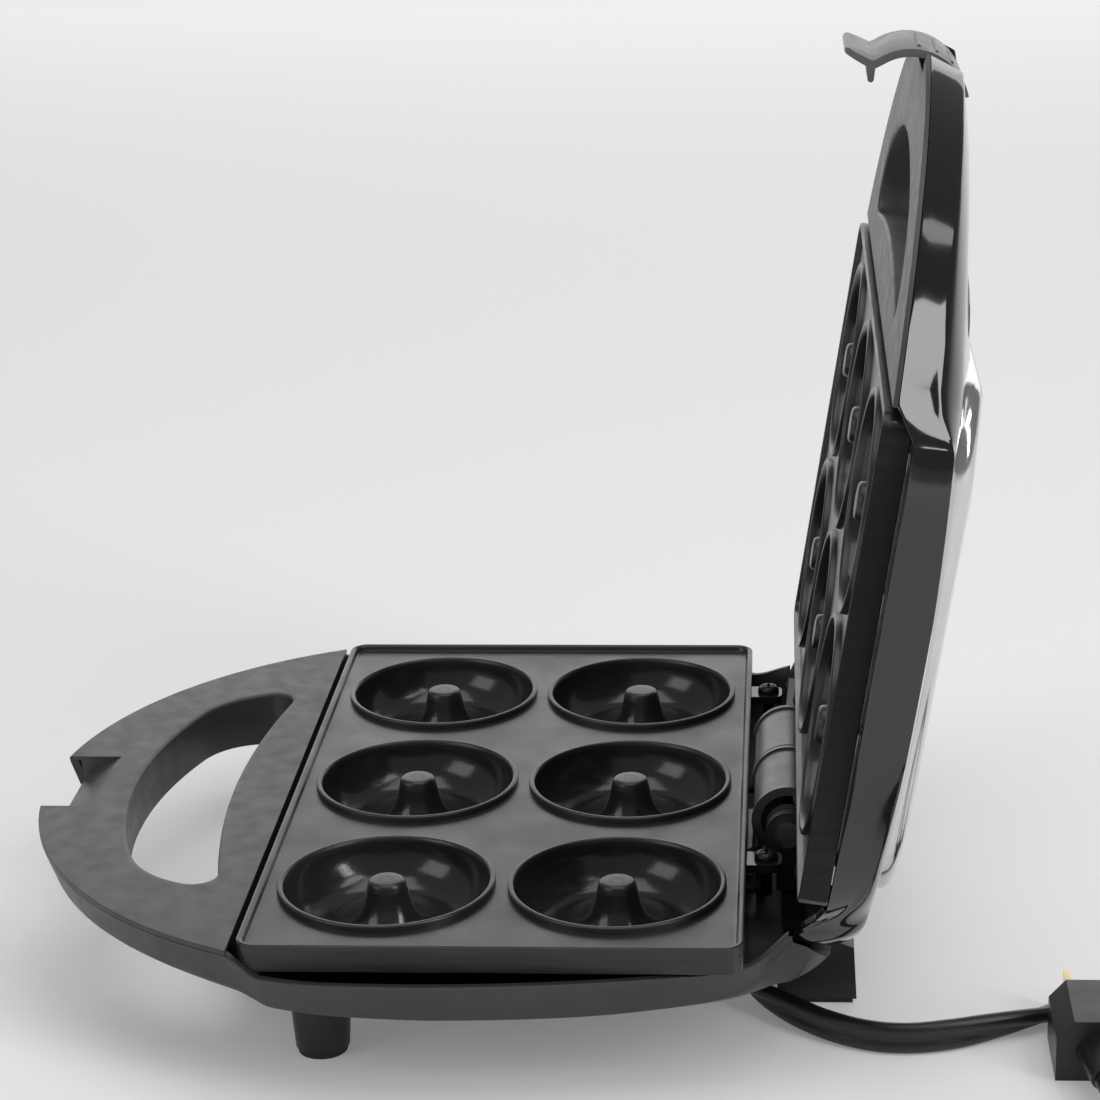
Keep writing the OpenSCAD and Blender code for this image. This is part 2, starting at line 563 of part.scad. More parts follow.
// ---- Latch: a curved plate round the handle's edge, with a thumb tab and a tooth ----
latch_c = [-122, 0.5];
latch_in = 13.5;
latch_t = 2.1;
latch_w = 33;
slot_c = [-121, 0.5];
slot_r = 11.3;
pin_at = [-125, 11.5];
pin_d = 3;
pin_half = 20.4;
module pin_rod(half) translate([-half, pin_at.x, pin_at.y]) rotate([0, 90, 0])
    cylinder(r = pin_d / 2, h = 2 * half);
function latch_arc(r, a) = latch_c + r * [cos(a), sin(a)];
module along_x(w) translate([-w / 2, 0, 0]) rotate([90, 0, 90]) linear_extrude(w) children();
// The room that the lid's handle leaves for the latch
module latch_slot() along_x(2 * notch_w + 0.2) {
    difference() {
        translate([-145, -5]) square([23.2, 25]);
        translate(slot_c) circle(slot_r);
    }
    translate(pin_at) circle(3.4);
}
module latch() color([0.32, 0.32, 0.33]) in_lid() difference() {
    along_x(latch_w) {
        polygon(concat([for (a = [110:8:222]) latch_arc(latch_in + latch_t, a)],
            [[-132.9, -11], [-134.9, -17.2], [-134.7, -18.3], [-133.9, -18.7], [-133.1, -18.2],
             [-131.2, -12.4], [-127.9, -11.6], [-127.3, -10.7], [-128, -9.9], [-131, -10.1]],
            [for (a = [222:-8:110]) latch_arc(latch_in, a)]));
        translate(pin_at) circle(2.6);
        for (a = [144, 162, 180]) translate(latch_arc(latch_in + latch_t, a)) circle(0.5);
    }
    translate([-latch_w, pin_at.x, pin_at.y]) rotate([0, 90, 0])
        cylinder(r = pin_d / 2 + 0.05, h = 2 * latch_w);
}
module latch_pin() color([0.8, 0.8, 0.8]) in_lid() pin_rod(pin_half);

base_shell();
base_handle_cover();
bottom_cover();
lower_plate();
lower_element();
lower_reflector();
lower_plate_screws();
thermostat();
terminal_block();
base_wiring();
hinge_barrel_base();
hinge_ears_base();
hinge_pins();
front_feet();
rear_feet();
foot_pads();
housing_screws_base();
strain_relief();
cord_lead();
cord_coil();
cord_tail();
plug_body();
plug_blades();
lid_shell();
lid_handle_cover();
upper_plate();
upper_element();
upper_reflector();
upper_plate_screws();
thermal_fuse();
lid_wiring();
hinge_barrel_lid();
hinge_ears_lid();
lid_top_panel();
power_lens();
ready_lens();
lamp_board();
housing_screws_lid();
latch_pin();
latch();
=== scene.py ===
"""A six-cavity donut maker standing open. Metres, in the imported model's frame."""

import math

import bmesh
import bpy
from mathutils import Matrix, Vector


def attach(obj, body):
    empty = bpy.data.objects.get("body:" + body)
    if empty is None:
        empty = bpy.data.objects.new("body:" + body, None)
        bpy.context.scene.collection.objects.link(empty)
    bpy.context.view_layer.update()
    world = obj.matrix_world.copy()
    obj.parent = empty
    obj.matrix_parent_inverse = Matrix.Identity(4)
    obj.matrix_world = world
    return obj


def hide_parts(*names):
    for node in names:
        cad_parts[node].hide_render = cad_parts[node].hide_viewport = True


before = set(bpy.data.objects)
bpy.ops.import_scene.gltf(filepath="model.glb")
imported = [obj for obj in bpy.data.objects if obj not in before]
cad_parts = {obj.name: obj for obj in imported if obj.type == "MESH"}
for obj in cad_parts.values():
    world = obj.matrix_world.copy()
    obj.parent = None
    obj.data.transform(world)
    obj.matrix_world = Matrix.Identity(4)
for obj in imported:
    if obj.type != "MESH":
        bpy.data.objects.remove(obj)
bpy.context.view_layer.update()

MM = 0.001
PLATE_Y = 3.5        # the plates' centre, in mm
PART_Z = 44.0        # the plane where the closed halves meet
DECK = 2.0           # depth of both decks below that plane
HINGE_Y = 76.2
OPEN_ANGLE = 99.0

# ---------------------------------------------------------------- camera
CAMERA_AT = Vector((0.77785, 0.0781, 0.37285))
PITCH, YAW, ROLL = (math.radians(a) for a in (18.43, -2.83, -0.86))


def make_camera():
    """A long lens on the object's right, in line with the hinge and higher than the open lid."""
    forward = Vector((-math.cos(PITCH) * math.cos(YAW), math.cos(PITCH) * math.sin(YAW), -math.sin(PITCH)))
    level_right = forward.cross(Vector((0, 0, 1))).normalized()
    level_up = level_right.cross(forward)
    right = level_right * math.cos(ROLL) + level_up * math.sin(ROLL)
    up = level_up * math.cos(ROLL) - level_right * math.sin(ROLL)
    data = bpy.data.cameras.new("camera")
    data.lens = 95.68
    data.sensor_width = 36
    data.shift_x = -0.0866
    data.shift_y = -0.0013
    data.clip_end = 30
    camera = bpy.data.objects.new("camera", data)
    camera.matrix_world = Matrix.Translation(CAMERA_AT) @ Matrix((right, up, -forward)).transposed().to_4x4()
    bpy.context.scene.collection.objects.link(camera)
    bpy.context.scene.camera = camera


make_camera()


# ---------------------------------------------------------------- mesh helpers
def mesh_object(name, points, faces, material, body, sharp=35):
    """A piece from points in millimetres; edges that bend more than sharp degrees stay crisp."""
    mesh = bpy.data.meshes.new(name)
    mesh.from_pydata([Vector(p) * MM for p in points], [], faces)
    piece = bpy.data.objects.new(name, mesh)
    bpy.context.scene.collection.objects.link(piece)
    mesh.materials.append(material)
    clean(piece, sharp)
    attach(piece, body)
    return piece


def clean(piece, sharp=35):
    """Welds doubles, turns the faces outwards and shades smooth except over sharp edges."""
    work = bmesh.new()
    work.from_mesh(piece.data)
    bmesh.ops.remove_doubles(work, verts=work.verts, dist=2e-6)
    bmesh.ops.recalc_face_normals(work, faces=work.faces)
    for face in work.faces:
        face.smooth = True
    for edge in work.edges:
        edge.smooth = len(edge.link_faces) == 2 and edge.calc_face_angle(0) < math.radians(sharp)
    work.to_mesh(piece.data)
    work.free()


def apply_modifiers(piece):
    graph = bpy.context.evaluated_depsgraph_get()
    mesh = bpy.data.meshes.new_from_object(piece.evaluated_get(graph))
    piece.modifiers.clear()
    piece.data = mesh


def carve(piece, cutters, sharp=35):
    """Takes the cutters' volumes out of the piece for good."""
    for cutter in cutters:
        cut = piece.modifiers.new("cut", "BOOLEAN")
        cut.operation = "DIFFERENCE"
        cut.solver = "EXACT"
        cut.object = cutter
    bpy.context.view_layer.update()
    apply_modifiers(piece)
    for cutter in cutters:
        bpy.data.objects.remove(cutter)
    clean(piece, sharp)
    soften = piece.modifiers.new("soften", "WEIGHTED_NORMAL")
    soften.keep_sharp = True


def cutter_object(points, faces):
    mesh = bpy.data.meshes.new("cutter")
    mesh.from_pydata([Vector(p) * MM for p in points], [], faces)
    piece = bpy.data.objects.new("cutter", mesh)
    bpy.context.scene.collection.objects.link(piece)
    clean(piece)
    return piece


def prism(outline, low, high, place):
    """A closed prism: the outline's points are given to place with each of the two heights."""
    n = len(outline)
    points = [place(p, low) for p in outline] + [place(p, high) for p in outline]
    faces = [list(range(n)), list(range(2 * n - 1, n - 1, -1))]
    faces += [[i, (i + 1) % n, n + (i + 1) % n, n + i] for i in range(n)]
    return points, faces


def join(parts):
    """Several (points, faces) pairs as one."""
    points, faces = [], []
    for more, their in parts:
        faces += [[i + len(points) for i in face] for face in their]
        points += list(more)
    return points, faces


def rings(loops, close=True):
    """Faces that join loops of equal length into a skin, capped at both ends if close."""
    n = len(loops[0])
    points = [p for loop in loops for p in loop]
    faces = [
        [i * n + j, i * n + (j + 1) % n, (i + 1) * n + (j + 1) % n, (i + 1) * n + j]
        for i in range(len(loops) - 1)
        for j in range(n)
    ]
    if close:
        faces += [list(range(n)), list(range(len(points) - n, len(points)))[::-1]]
    return points, faces


def in_base(p):
    """From a half's depth frame to the row frame, for the base."""
    return (p[0], p[1] + PLATE_Y, PART_Z - p[2])


LEAN = math.radians(-OPEN_ANGLE)


def in_lid(p):
    """From a half's depth frame to the row frame, for the open lid."""
    y, z = p[1] - HINGE_Y, p[2]
    return (
        p[0],
        y * math.cos(LEAN) - z * math.sin(LEAN) + HINGE_Y + PLATE_Y,
        y * math.sin(LEAN) + z * math.cos(LEAN) + PART_Z,
    )


# ---------------------------------------------------------------- materials
LID_OUT = Vector((0, -math.sin(LEAN), math.cos(LEAN)))
HINGE_AT = Vector((0, HINGE_Y + PLATE_Y, PART_Z)) * MM
PATCH = 38                             # scale of the soft patches in every finish
SKIRT_X = 109.8 * MM                   # beyond this a plate's coating is the skirt's


class Shader:
    """A procedural Principled material, built one node at a time."""

    def __init__(self, name):
        self.material = bpy.data.materials.new(name)
        self.material.use_nodes = True
        self.tree = self.material.node_tree
        self.base = self.tree.nodes["Principled BSDF"]
        self.place = self.add("ShaderNodeTexCoord").outputs["Object"]

    def add(self, kind, **values):
        """A new node of the given kind, with its properties set."""
        made = self.tree.nodes.new(kind)
        for key, value in values.items():
            setattr(made, key, value)
        return made

    def link(self, a, b):
        self.tree.links.new(a, b)

    def noise(self, scale, detail=4.0, stretch=None):
        """Soft noise from 0 to 1, drawn out along the axes that stretch makes small."""
        texture = self.add("ShaderNodeTexNoise")
        texture.inputs["Scale"].default_value = scale
        texture.inputs["Detail"].default_value = detail
        if stretch:
            mapping = self.add("ShaderNodeMapping")
            mapping.inputs["Scale"].default_value = stretch
            self.link(self.place, mapping.inputs["Vector"])
            self.link(mapping.outputs["Vector"], texture.inputs["Vector"])
        else:
            self.link(self.place, texture.inputs["Vector"])
        return texture.outputs["Fac"]

    def spread(self, source, low, high, start=0.3, end=0.7):
        """The source from start to end as a value from low to high."""
        ranged = self.add("ShaderNodeMapRange")
        ranged.inputs["From Min"].default_value = start
        ranged.inputs["From Max"].default_value = end
        ranged.inputs["To Min"].default_value = low
        ranged.inputs["To Max"].default_value = high
        self.link(source, ranged.inputs["Value"])
        return ranged.outputs["Result"]

    def colours(self, source, dark, light, start=0.3, end=0.7):
        """The source from start to end as a colour from dark to light."""
        ramp = self.add("ShaderNodeValToRGB")
        ramp.color_ramp.elements[0].position = start
        ramp.color_ramp.elements[1].position = end
        ramp.color_ramp.elements[0].color = (*dark, 1)
        ramp.color_ramp.elements[1].color = (*light, 1)
        self.link(source, ramp.inputs["Fac"])
        return ramp.outputs["Color"]

    def math(self, operation, a, b):
        node = self.add("ShaderNodeMath", operation=operation)
        for socket, value in zip(node.inputs, (a, b)):
            if isinstance(value, (int, float)):
                socket.default_value = value
            else:
                self.link(value, socket)
        return node.outputs[0]

    def blend(self, mask, a, b):
        """a where the mask is 0 and b where it is 1."""
        return self.math("ADD", self.math("MULTIPLY", self.math("SUBTRACT", 1.0, mask), a),
                         self.math("MULTIPLY", mask, b))

    def bump(self, source, strength, distance):
        node = self.add("ShaderNodeBump")
        node.inputs["Strength"].default_value = strength
        node.inputs["Distance"].default_value = distance
        self.link(source, node.inputs["Height"])
        self.link(node.outputs["Normal"], self.base.inputs["Normal"])

    def set(self, name, value):
        """Puts a number or another node's output on a socket of the Principled node."""
        if isinstance(value, (int, float)):
            self.base.inputs[name].default_value = value
        else:
            self.link(value, self.base.inputs[name])


def finish(name, dark, light, rough, grain=(2600, 0.12, 0.00006), metallic=0.0, stretch=None, **sockets):
    """A worn even finish: two close colours in soft patches, varied roughness and a fine grain."""
    s = Shader(name)
    patches = s.noise(PATCH, 5, stretch)
    s.set("Base Color", s.colours(patches, dark, light))
    s.set("Roughness", s.spread(s.noise(PATCH * 4.3, 3, stretch), rough[0], rough[1]))
    s.set("Metallic", metallic)
    s.bump(s.noise(grain[0], 2, stretch), grain[1], grain[2])
    for key, value in sockets.items():
        s.set(key.replace("_", " "), value)
    return s.material


def nonstick(name, outward, origin, skirt_sheen_painted_shade):
    """Satin coating on the deck, glossier inside the cavities and brushed down the skirt."""
    s = Shader(name)
    along = s.add("ShaderNodeVectorMath", operation="DOT_PRODUCT")
    shifted = s.add("ShaderNodeVectorMath", operation="SUBTRACT")
    s.link(s.place, shifted.inputs[0])
    shifted.inputs[1].default_value = origin
    s.link(shifted.outputs["Vector"], along.inputs[0])
    along.inputs[1].default_value = outward
    depth = along.outputs["Value"]
    split = s.add("ShaderNodeSeparateXYZ")
    s.link(s.place, split.inputs[0])
    side = s.math("GREATER_THAN", s.math("ABSOLUTE", split.outputs["X"], 0.0), SKIRT_X)
    deep = s.math("MULTIPLY", s.math("GREATER_THAN", depth, (DECK + 0.6) * MM), s.math("SUBTRACT", 1.0, side))
    streaks = s.noise(60, 6, (1.0, 0.6, 14.0))
    fine = s.noise(420, 4)
    deck_rough = s.spread(s.noise(55, 5), 0.27, 0.4)
    cavity_rough = s.spread(fine, 0.12, 0.2)
    smooth = s.blend(deep, deck_rough, cavity_rough)
    s.set("Roughness", s.blend(side, smooth, s.spread(streaks, 0.3, 0.75)))
    shade = s.blend(side, s.noise(30, 5), streaks)
    s.set("Base Color", s.colours(shade, (0.014, 0.014, 0.0155), (0.026, 0.026, 0.028)))
    s.bump(s.blend(side, s.noise(1500, 2), streaks), 0.16, 0.00012)
    # The skirt's specular level comes from the last argument; the upper plate's low value there is painted
    # shade for the dark surroundings its skirt reflects.
    s.set("Specular IOR Level", s.blend(side, 0.62, skirt_sheen_painted_shade))
    return s.material


HOUSING = finish("housing_satin", (0.022, 0.0205, 0.0235), (0.031, 0.029, 0.033), (0.34, 0.46),
                 (2200, 0.1, 0.00008))
# The decks are the housing's dark plastic painted lighter: a painted sheen for the soft boxes' glancing light
# on them.
DECKS_PAINTED_SHEEN = finish("deck_satin_painted_sheen", (0.048, 0.049, 0.052), (0.053, 0.054, 0.058), (0.36, 0.48), (2400, 0.1, 0.00008))
GLOSS = finish("housing_gloss", (0.0042, 0.0042, 0.0048), (0.0062, 0.0062, 0.007), (0.045, 0.085),
               (900, 0.02, 0.00002), Coat_Weight=0.4, Coat_Roughness=0.03)
STEEL = finish("polished_steel", (0.60, 0.60, 0.61), (0.70, 0.70, 0.71), (0.10, 0.19), (700, 0.05, 0.00003),
               metallic=1.0, stretch=(30, 1, 1))
LOWER = nonstick("nonstick_lower", Vector((0, 0, -1)), Vector((0, 0, PART_Z * MM)), 0.6)
# Same coating as the lower plate; the lower specular level on its skirt is painted shade for the dark side it
# faces.
UPPER = nonstick("nonstick_upper", LID_OUT, HINGE_AT, 0.12)
BARREL = finish("barrel_satin", (0.10, 0.10, 0.103), (0.135, 0.135, 0.138), (0.3, 0.4), metallic=0.55)
TUBE = finish("heater_steel", (0.20, 0.17, 0.15), (0.34, 0.31, 0.29), (0.3, 0.5), metallic=0.9)
SHEET = finish("sheet_metal", (0.42, 0.42, 0.42), (0.55, 0.55, 0.55), (0.25, 0.42), metallic=1.0,
               stretch=(1, 12, 1))
BLACK_STEEL = finish("black_screws", (0.012, 0.012, 0.012), (0.03, 0.03, 0.03), (0.25, 0.4), metallic=0.6)
BRIGHT_STEEL = finish("pin_steel", (0.5, 0.5, 0.5), (0.62, 0.62, 0.62), (0.18, 0.3), metallic=1.0)
CERAMIC = finish("ceramic", (0.72, 0.68, 0.60), (0.82, 0.79, 0.72), (0.25, 0.4))
SLEEVE = finish("wire_sleeve", (0.020, 0.018, 0.016), (0.034, 0.031, 0.028), (0.6, 0.8), (3200, 0.5, 0.0002))
FEET = finish("foot_plastic", (0.007, 0.007, 0.007), (0.011, 0.011, 0.011), (0.36, 0.5))
RUBBER = finish("foot_rubber", (0.010, 0.010, 0.010), (0.016, 0.016, 0.016), (0.55, 0.75),
                (1800, 0.3, 0.0001))
VINYL = finish("cord_vinyl", (0.010, 0.010, 0.010), (0.016, 0.016, 0.017), (0.28, 0.4), (1600, 0.1, 0.00008))
BRASS = finish("plug_brass", (0.55, 0.42, 0.2), (0.66, 0.53, 0.28), (0.2, 0.32), metallic=1.0)
RED = finish("red_lens", (0.40, 0.010, 0.008), (0.50, 0.02, 0.015), (0.08, 0.14), Transmission_Weight=0.35)
GREEN = finish("green_lens", (0.01, 0.22, 0.03), (0.02, 0.30, 0.05), (0.08, 0.14), Transmission_Weight=0.35)
BOARD = finish("circuit_board", (0.01, 0.08, 0.03), (0.02, 0.12, 0.05), (0.3, 0.4))
LATCH = finish("latch_satin", (0.125, 0.125, 0.131), (0.150, 0.150, 0.157), (0.36, 0.48),
               (2200, 0.1, 0.00008))

NODE_MATERIALS = {
    HOUSING: ["base_shell", "bottom_cover", "hinge_ears_base", "hinge_ears_lid"],
    DECKS_PAINTED_SHEEN: ["base_handle_cover", "lid_handle_cover"],
    GLOSS: ["lid_shell"],
    STEEL: ["lid_top_panel"],
    LOWER: ["lower_plate"],
    UPPER: ["upper_plate"],
    BARREL: ["hinge_barrel_base", "hinge_barrel_lid"],
    TUBE: ["lower_element", "upper_element"],
    SHEET: ["lower_reflector", "upper_reflector", "thermal_fuse"],
    BLACK_STEEL: ["lower_plate_screws", "upper_plate_screws"],
    BRIGHT_STEEL: ["hinge_pins", "latch_pin", "housing_screws_base", "housing_screws_lid"],
    CERAMIC: ["thermostat", "terminal_block"],
    SLEEVE: ["base_wiring", "lid_wiring"],
    FEET: ["front_feet", "rear_feet"],
    RUBBER: ["foot_pads"],
    VINYL: ["strain_relief", "cord_lead", "cord_coil", "cord_tail", "plug_body"],
    BRASS: ["plug_blades"],
    RED: ["power_lens"],
    GREEN: ["ready_lens"],
    BOARD: ["lamp_board"],
    LATCH: ["latch"],
}
for material, names in NODE_MATERIALS.items():
    for name in names:
        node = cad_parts[name]
        node.data.materials.clear()
        node.data.materials.append(material)

# ---------------------------------------------------------------- mains cord
CORD_W, CORD_T = 8.6, 4.3
# The loose stretches as (x, y, z, roll); a roll of 90 stands the cord on edge
LEAD = [(44.3, 58.1, 6.5, 0), (50, 62.7, 6, 20), (57, 68.5, 4.6, 55), (66, 76.5, 4.35, 85),
        (75, 86, 4.35, 90), (81, 97, 4.35, 90), (82.6, 108, 4.35, 90), (80, 120, 4.35, 90),
        (74, 133, 3.9, 62), (66, 146, 2.75, 26), (57, 158.5, 2.2, 0), (50, 172, 2.2, 0),
        (44, 183, 2.2, 0), (39.3, 190.5, 2.2, 0)]
TAIL = [(113, 248, 5.4, 0), (123, 238, 3, 0), (133, 228.5, 2.2, 0), (141, 217, 2.2, 0), (144.75, 203, 2.2, 0),
        (143.5, 187, 2.2, 0), (136.5, 172, 3, 0), (125, 162, 5.6, 0), (112, 158, 8.5, 0)]
COIL_AT, COIL_R = (73, 223), 46
COIL_START, COIL_END = 213, 45 - 360


def coil_points():
    """Clockwise round the coil; past a full turn it lies on the turn below."""
    found = []
    steps = 44
    for k in range(steps + 1):
        angle = COIL_START + (COIL_END - COIL_START) * k / steps
        turned = COIL_START - angle
        rise = min(1.0, max(0.0, (turned - 250) / 100))
        lift = rise * rise * (3 - 2 * rise)
        a = math.radians(angle)
        x, y = COIL_AT[0] + COIL_R * math.cos(a), COIL_AT[1] + COIL_R * math.sin(a)
        found.append((x, y, 2.2 + CORD_T * lift, 0))
    return found


def smooth_path(points, each=4):
    """A Catmull-Rom curve through the points."""
    ends = [Vector(points[0]) * 2 - Vector(points[1])] + [Vector(p) for p in points]
    ends.append(ends[-1] * 2 - ends[-2])
    found = []
    for i in range(1, len(ends) - 2):
        a, b, c, d = ends[i - 1:i + 3]
        for k in range(each):
            t = k / each
            found.append(0.5 * ((2 * b) + (c - a) * t + (2 * a - 5 * b + 4 * c - d) * t * t
                                + (3 * b - a - 3 * c + d) * t ** 3))
    found.append(ends[-2])
    return found


def make_cord():
    curve = smooth_path([(x, y + PLATE_Y, z, roll) for x, y, z, roll in LEAD + coil_points() + TAIL])
    for p in curve:
        p.z = max(p.z, CORD_T / 2 * (1 + abs(math.sin(math.radians(p.w)))) + 0.04)
    path = [p.to_3d() for p in curve]
    lobes = 13
    section = []
    for side in (1, -1):
        for k in range(lobes):
            a = math.radians(-138 + 276 * k / (lobes - 1)) + (0 if side > 0 else math.pi)
            section.append((side * CORD_T / 2 + CORD_T / 2 * math.cos(a), CORD_T / 2 * math.sin(a)))
    loops = []
    for i, p in enumerate(path):
        along = (path[min(i + 1, len(path) - 1)] - path[max(i - 1, 0)]).normalized()
        level = along.cross(Vector((0, 0, 1))).normalized()
        top = level.cross(along)
        roll = math.radians(curve[i][3])
        across = level * math.cos(roll) + top * math.sin(roll)
        up = top * math.cos(roll) - level * math.sin(roll)
        loops.append([p + across * u + up * v for u, v in section])
    piece = mesh_object("cord", *rings(loops), VINYL, "base", sharp=60)
    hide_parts("cord_lead", "cord_coil", "cord_tail")
    make_tie()


def make_tie():
    """A flat band that holds the coil's turns together, on the side away from the plug."""
    a = math.radians(150)
    centre = Vector((COIL_AT[0] + COIL_R * math.cos(a), COIL_AT[1] + PLATE_Y + COIL_R * math.sin(a), CORD_T))
    outward = Vector((math.cos(a), math.sin(a), 0))
    along = Vector((-math.sin(a), math.cos(a), 0))
    loops = []
    for grow, side in ((0.15, -3), (0.55, -3), (0.55, 3), (0.15, 3)):
        loop = []
        for k in range(24):
            t = 2 * math.pi * k / 24
            u = (CORD_W / 2 + grow) * max(-1, min(1, 1.25 * math.cos(t)))
            v = CORD_T * max(-1, min(1, 1.25 * math.sin(t)))
            loop.append(centre + outward * u + Vector((0, 0, 1)) * v + along * side)
        loops.append(loop)
    piece = mesh_object("cord_tie", *rings(loops + loops[:1], close=False), RUBBER, "base")
    return piece


make_cord()

# ---------------------------------------------------------------- the housings' shape
ARC_A = [-90, -22, -3, 12.5, 84, 90]
ARC_R = [120.85, 75, 345, 52]
ARC_STEPS = [26, 14, 12, 24, 4]
CROWN, WALL, DOME_R, DOME_Y, BODY_Y, SLOPE = 29.7, 2.4, 700, 5, -68, 0.185
NOTCH_W = 18.3
MIDDLE = (0, -15)


def arc_centres(first, radii, angles):
    """Centres of a chain of arcs that run on smoothly: arc i starts at angle i."""
    found = [first]
    for i in range(1, len(radii)):
        a = math.radians(angles[i])
        step = radii[i - 1] - radii[i]
        found.append((found[-1][0] + step * math.cos(a), found[-1][1] + step * math.sin(a)))
    return found


corner = arc_centres((0, -17.5), ARC_R, ARC_A)[-1]
ARC_R = ARC_R + [ARC_R[-1] + corner[0] / math.cos(math.radians(ARC_A[4]))]
CENTRES = arc_centres((0, -17.5), ARC_R, ARC_A)


def vertices():
    """Every vertex of the outline as (centre x, centre y, radius, angle, side)."""
    half = [
        (*CENTRES[i], ARC_R[i], ARC_A[i] + (ARC_A[i + 1] - ARC_A[i]) * k / ARC_STEPS[i], 1)
        for i in range(5)
        for k in range(ARC_STEPS[i])
    ]
    top = [(*CENTRES[4], ARC_R[4], 90, 1)]
    return half + top + [(*v[:4], -1) for v in half[:0:-1]]


ROUND = vertices()


def edge(v, inset):
    """The outline's point at a vertex, moved inwards by the inset."""
    a = math.radians(v[3])
    return (v[4] * (v[0] + (v[2] - inset) * math.cos(a)), v[1] + (v[2] - inset) * math.sin(a))


def step(a, b, x):
    """Smoothly from 0 at a to 1 at b."""
    t = max(0.0, min(1.0, (x - a) / (b - a)))
    return t * t * (3 - 2 * t)


def dome(x, y):
    """Depth of the outer face: a shallow dome over the body and a straight slope under the handle."""
    if y < BODY_Y:
        along = (BODY_Y - DOME_Y) ** 2 / (2 * DOME_R) - SLOPE * (y - BODY_Y)
    else:
        along = (y - DOME_Y) ** 2 / (2 * DOME_R)
    return CROWN - x * x / (2 * DOME_R) - along


def rim_depth(y):
    """Depth of the rim: shallow round the handle, deeper beside the plates, least at the rear."""
    return 3.2 + 4.9 * step(-67.5, -59, y) - 6.9 * step(65, 82, y)


def sweep(y):
    """Factor on the side wall's depth, which runs out from 1 to 0 towards the rear."""
    return 1.0 if y < 58 else 0.0 if y > 82 else (1 - ((y - 58) / 24) ** 2) ** 0.6


def crease_depth(x, y):
    """Depth of the line where the side wall meets the soft edge."""
    low = min(dome(x * 0.93, y), 20.8 - 0.0019 * max(0, y - 20) ** 2)
    return max(rim_depth(y) + 0.3, 12 + (low * sweep(y) - 12) * step(-72, -58, y))


def crease_inset(v):
    """How far the side wall leans in by the time it reaches that line."""
    x, y = edge(v, 0)
    return (crease_depth(x, y) - rim_depth(y)) * (0.34 + 0.19 * step(-72, -58, y))


def edge_width(y):
    """Width of the soft edge between the side wall and the dome."""
    return 14 - 8 * step(-72, -58, y) + 2 * step(60, 82, y)


def on_wall(v, t, w):
    """On the side wall at a vertex, t of the way from rim to crease and w inside the skin."""
    x0, y0 = edge(v, 0)
    rim, crease = rim_depth(y0), crease_depth(x0, y0)
    x, y = edge(v, crease_inset(v) * t + w)
    return (x, y, max(rim + (crease - rim) * t - w * t * 0.5, rim + 0.05 * t))


def on_edge(v, q, w):
    """On the soft edge, q of the way from crease to dome."""
    x0, y0 = edge(v, 0)
    crease, rim = crease_depth(x0, y0), rim_depth(y0)
    x, y = edge(v, crease_inset(v) + edge_width(y0) * q + w)
    depth = crease + max(0, dome(x, y) - crease) * math.sqrt(1 - (1 - q) ** 2) - w
    return (x, y, max(depth, rim + 0.1 + q * 0.1))


def on_dome(v, f, w):
    """On the dome, f of the way from its middle out to the soft edge."""
    x, y, _ = on_edge(v, 1, w)
    x, y = MIDDLE[0] + f * (x - MIDDLE[0]), MIDDLE[1] + f * (y - MIDDLE[1])
    return (x, y, dome(x, y) - w)


def rim_ring(v, inset, drop):
    """On the rim's narrow face, dropped a little where it rounds over."""
    x, y = edge(v, inset)
    return (x, y, rim_depth(edge(v, 0)[1]) + drop)


def skin(place):
    """The housing's inside from the dome to the rim, then back over its outside."""
    loops = [[on_dome(v, f, WALL) for v in ROUND] for f in (0.3, 0.55, 0.8)]
    loops += [[on_edge(v, q, WALL) for v in ROUND] for q in (1, 0.6, 0.3, 0.1)]
    loops += [[on_wall(v, t, WALL) for v in ROUND] for t in (1, 0.5, 0.08)]
    loops += [[rim_ring(v, inset, drop) for v in ROUND]
              for inset, drop in ((WALL - 0.1, 0.1), (WALL - 0.5, 0), (0.5, 0), (0.2, 0.08), (0.05, 0.25))]
    loops += [[on_wall(v, t, 0) for v in ROUND] for t in (0.08, 0.3, 0.55, 0.8, 0.95)]
    loops += [[on_edge(v, q, 0) for v in ROUND] for q in (0.01, 0.04, 0.1, 0.2, 0.32, 0.47, 0.64, 0.82, 1)]
    loops += [[on_dome(v, f, 0) for v in ROUND] for f in (0.93, 0.84, 0.72, 0.58, 0.43, 0.28, 0.14)]
    loops = [[place(p) for p in loop] for loop in loops]
    return rings(loops)


HOLE_A, HOLE_R, HOLE_STEPS = [-90, -70, -20, 100.7, 90], [150, 30, 6, -337], [8, 12, 20, 12]


def hand_hole(grow):
    """The hand hole's outline: a wide arc in front, tight corners and a hollow arc behind."""
    centres = arc_centres((0, 37.4), HOLE_R, HOLE_A)
    right = []
    for i in range(4):
        for k in range(HOLE_STEPS[i]):
            a = math.radians(HOLE_A[i] + (HOLE_A[i + 1] - HOLE_A[i]) * k / HOLE_STEPS[i])
            radius = HOLE_R[i] + grow
            right.append((centres[i][0] + radius * math.cos(a), centres[i][1] + radius * math.sin(a)))
    return right + [(0, -83.6 + grow)] + [(-x, y) for x, y in right[:0:-1]]


def upright(place):
    """Outlines in the (x, y) plane, drawn out along the depth."""
    return lambda p, d: place((p[0], p[1], d))


def sideways(place):
    """Outlines in the (y, depth) plane, drawn out along X."""
    return lambda p, x: place((x, p[0], p[1]))


def arc(centre, radius, start, end, steps):
    return [
        (centre[0] + radius * math.cos(math.radians(a)), centre[1] + radius * math.sin(math.radians(a)))
        for a in (start + (end - start) * k / steps for k in range(steps + 1))
    ]


def box_outline(x0, y0, x1, y1):
    """A rectangle from two opposite corners."""
    return [(x0, y0), (x1, y0), (x1, y1), (x0, y1)]


SLOT_C, SLOT_R, SLOT_FRONT = (-121, 0.5), 11.3, -121.8


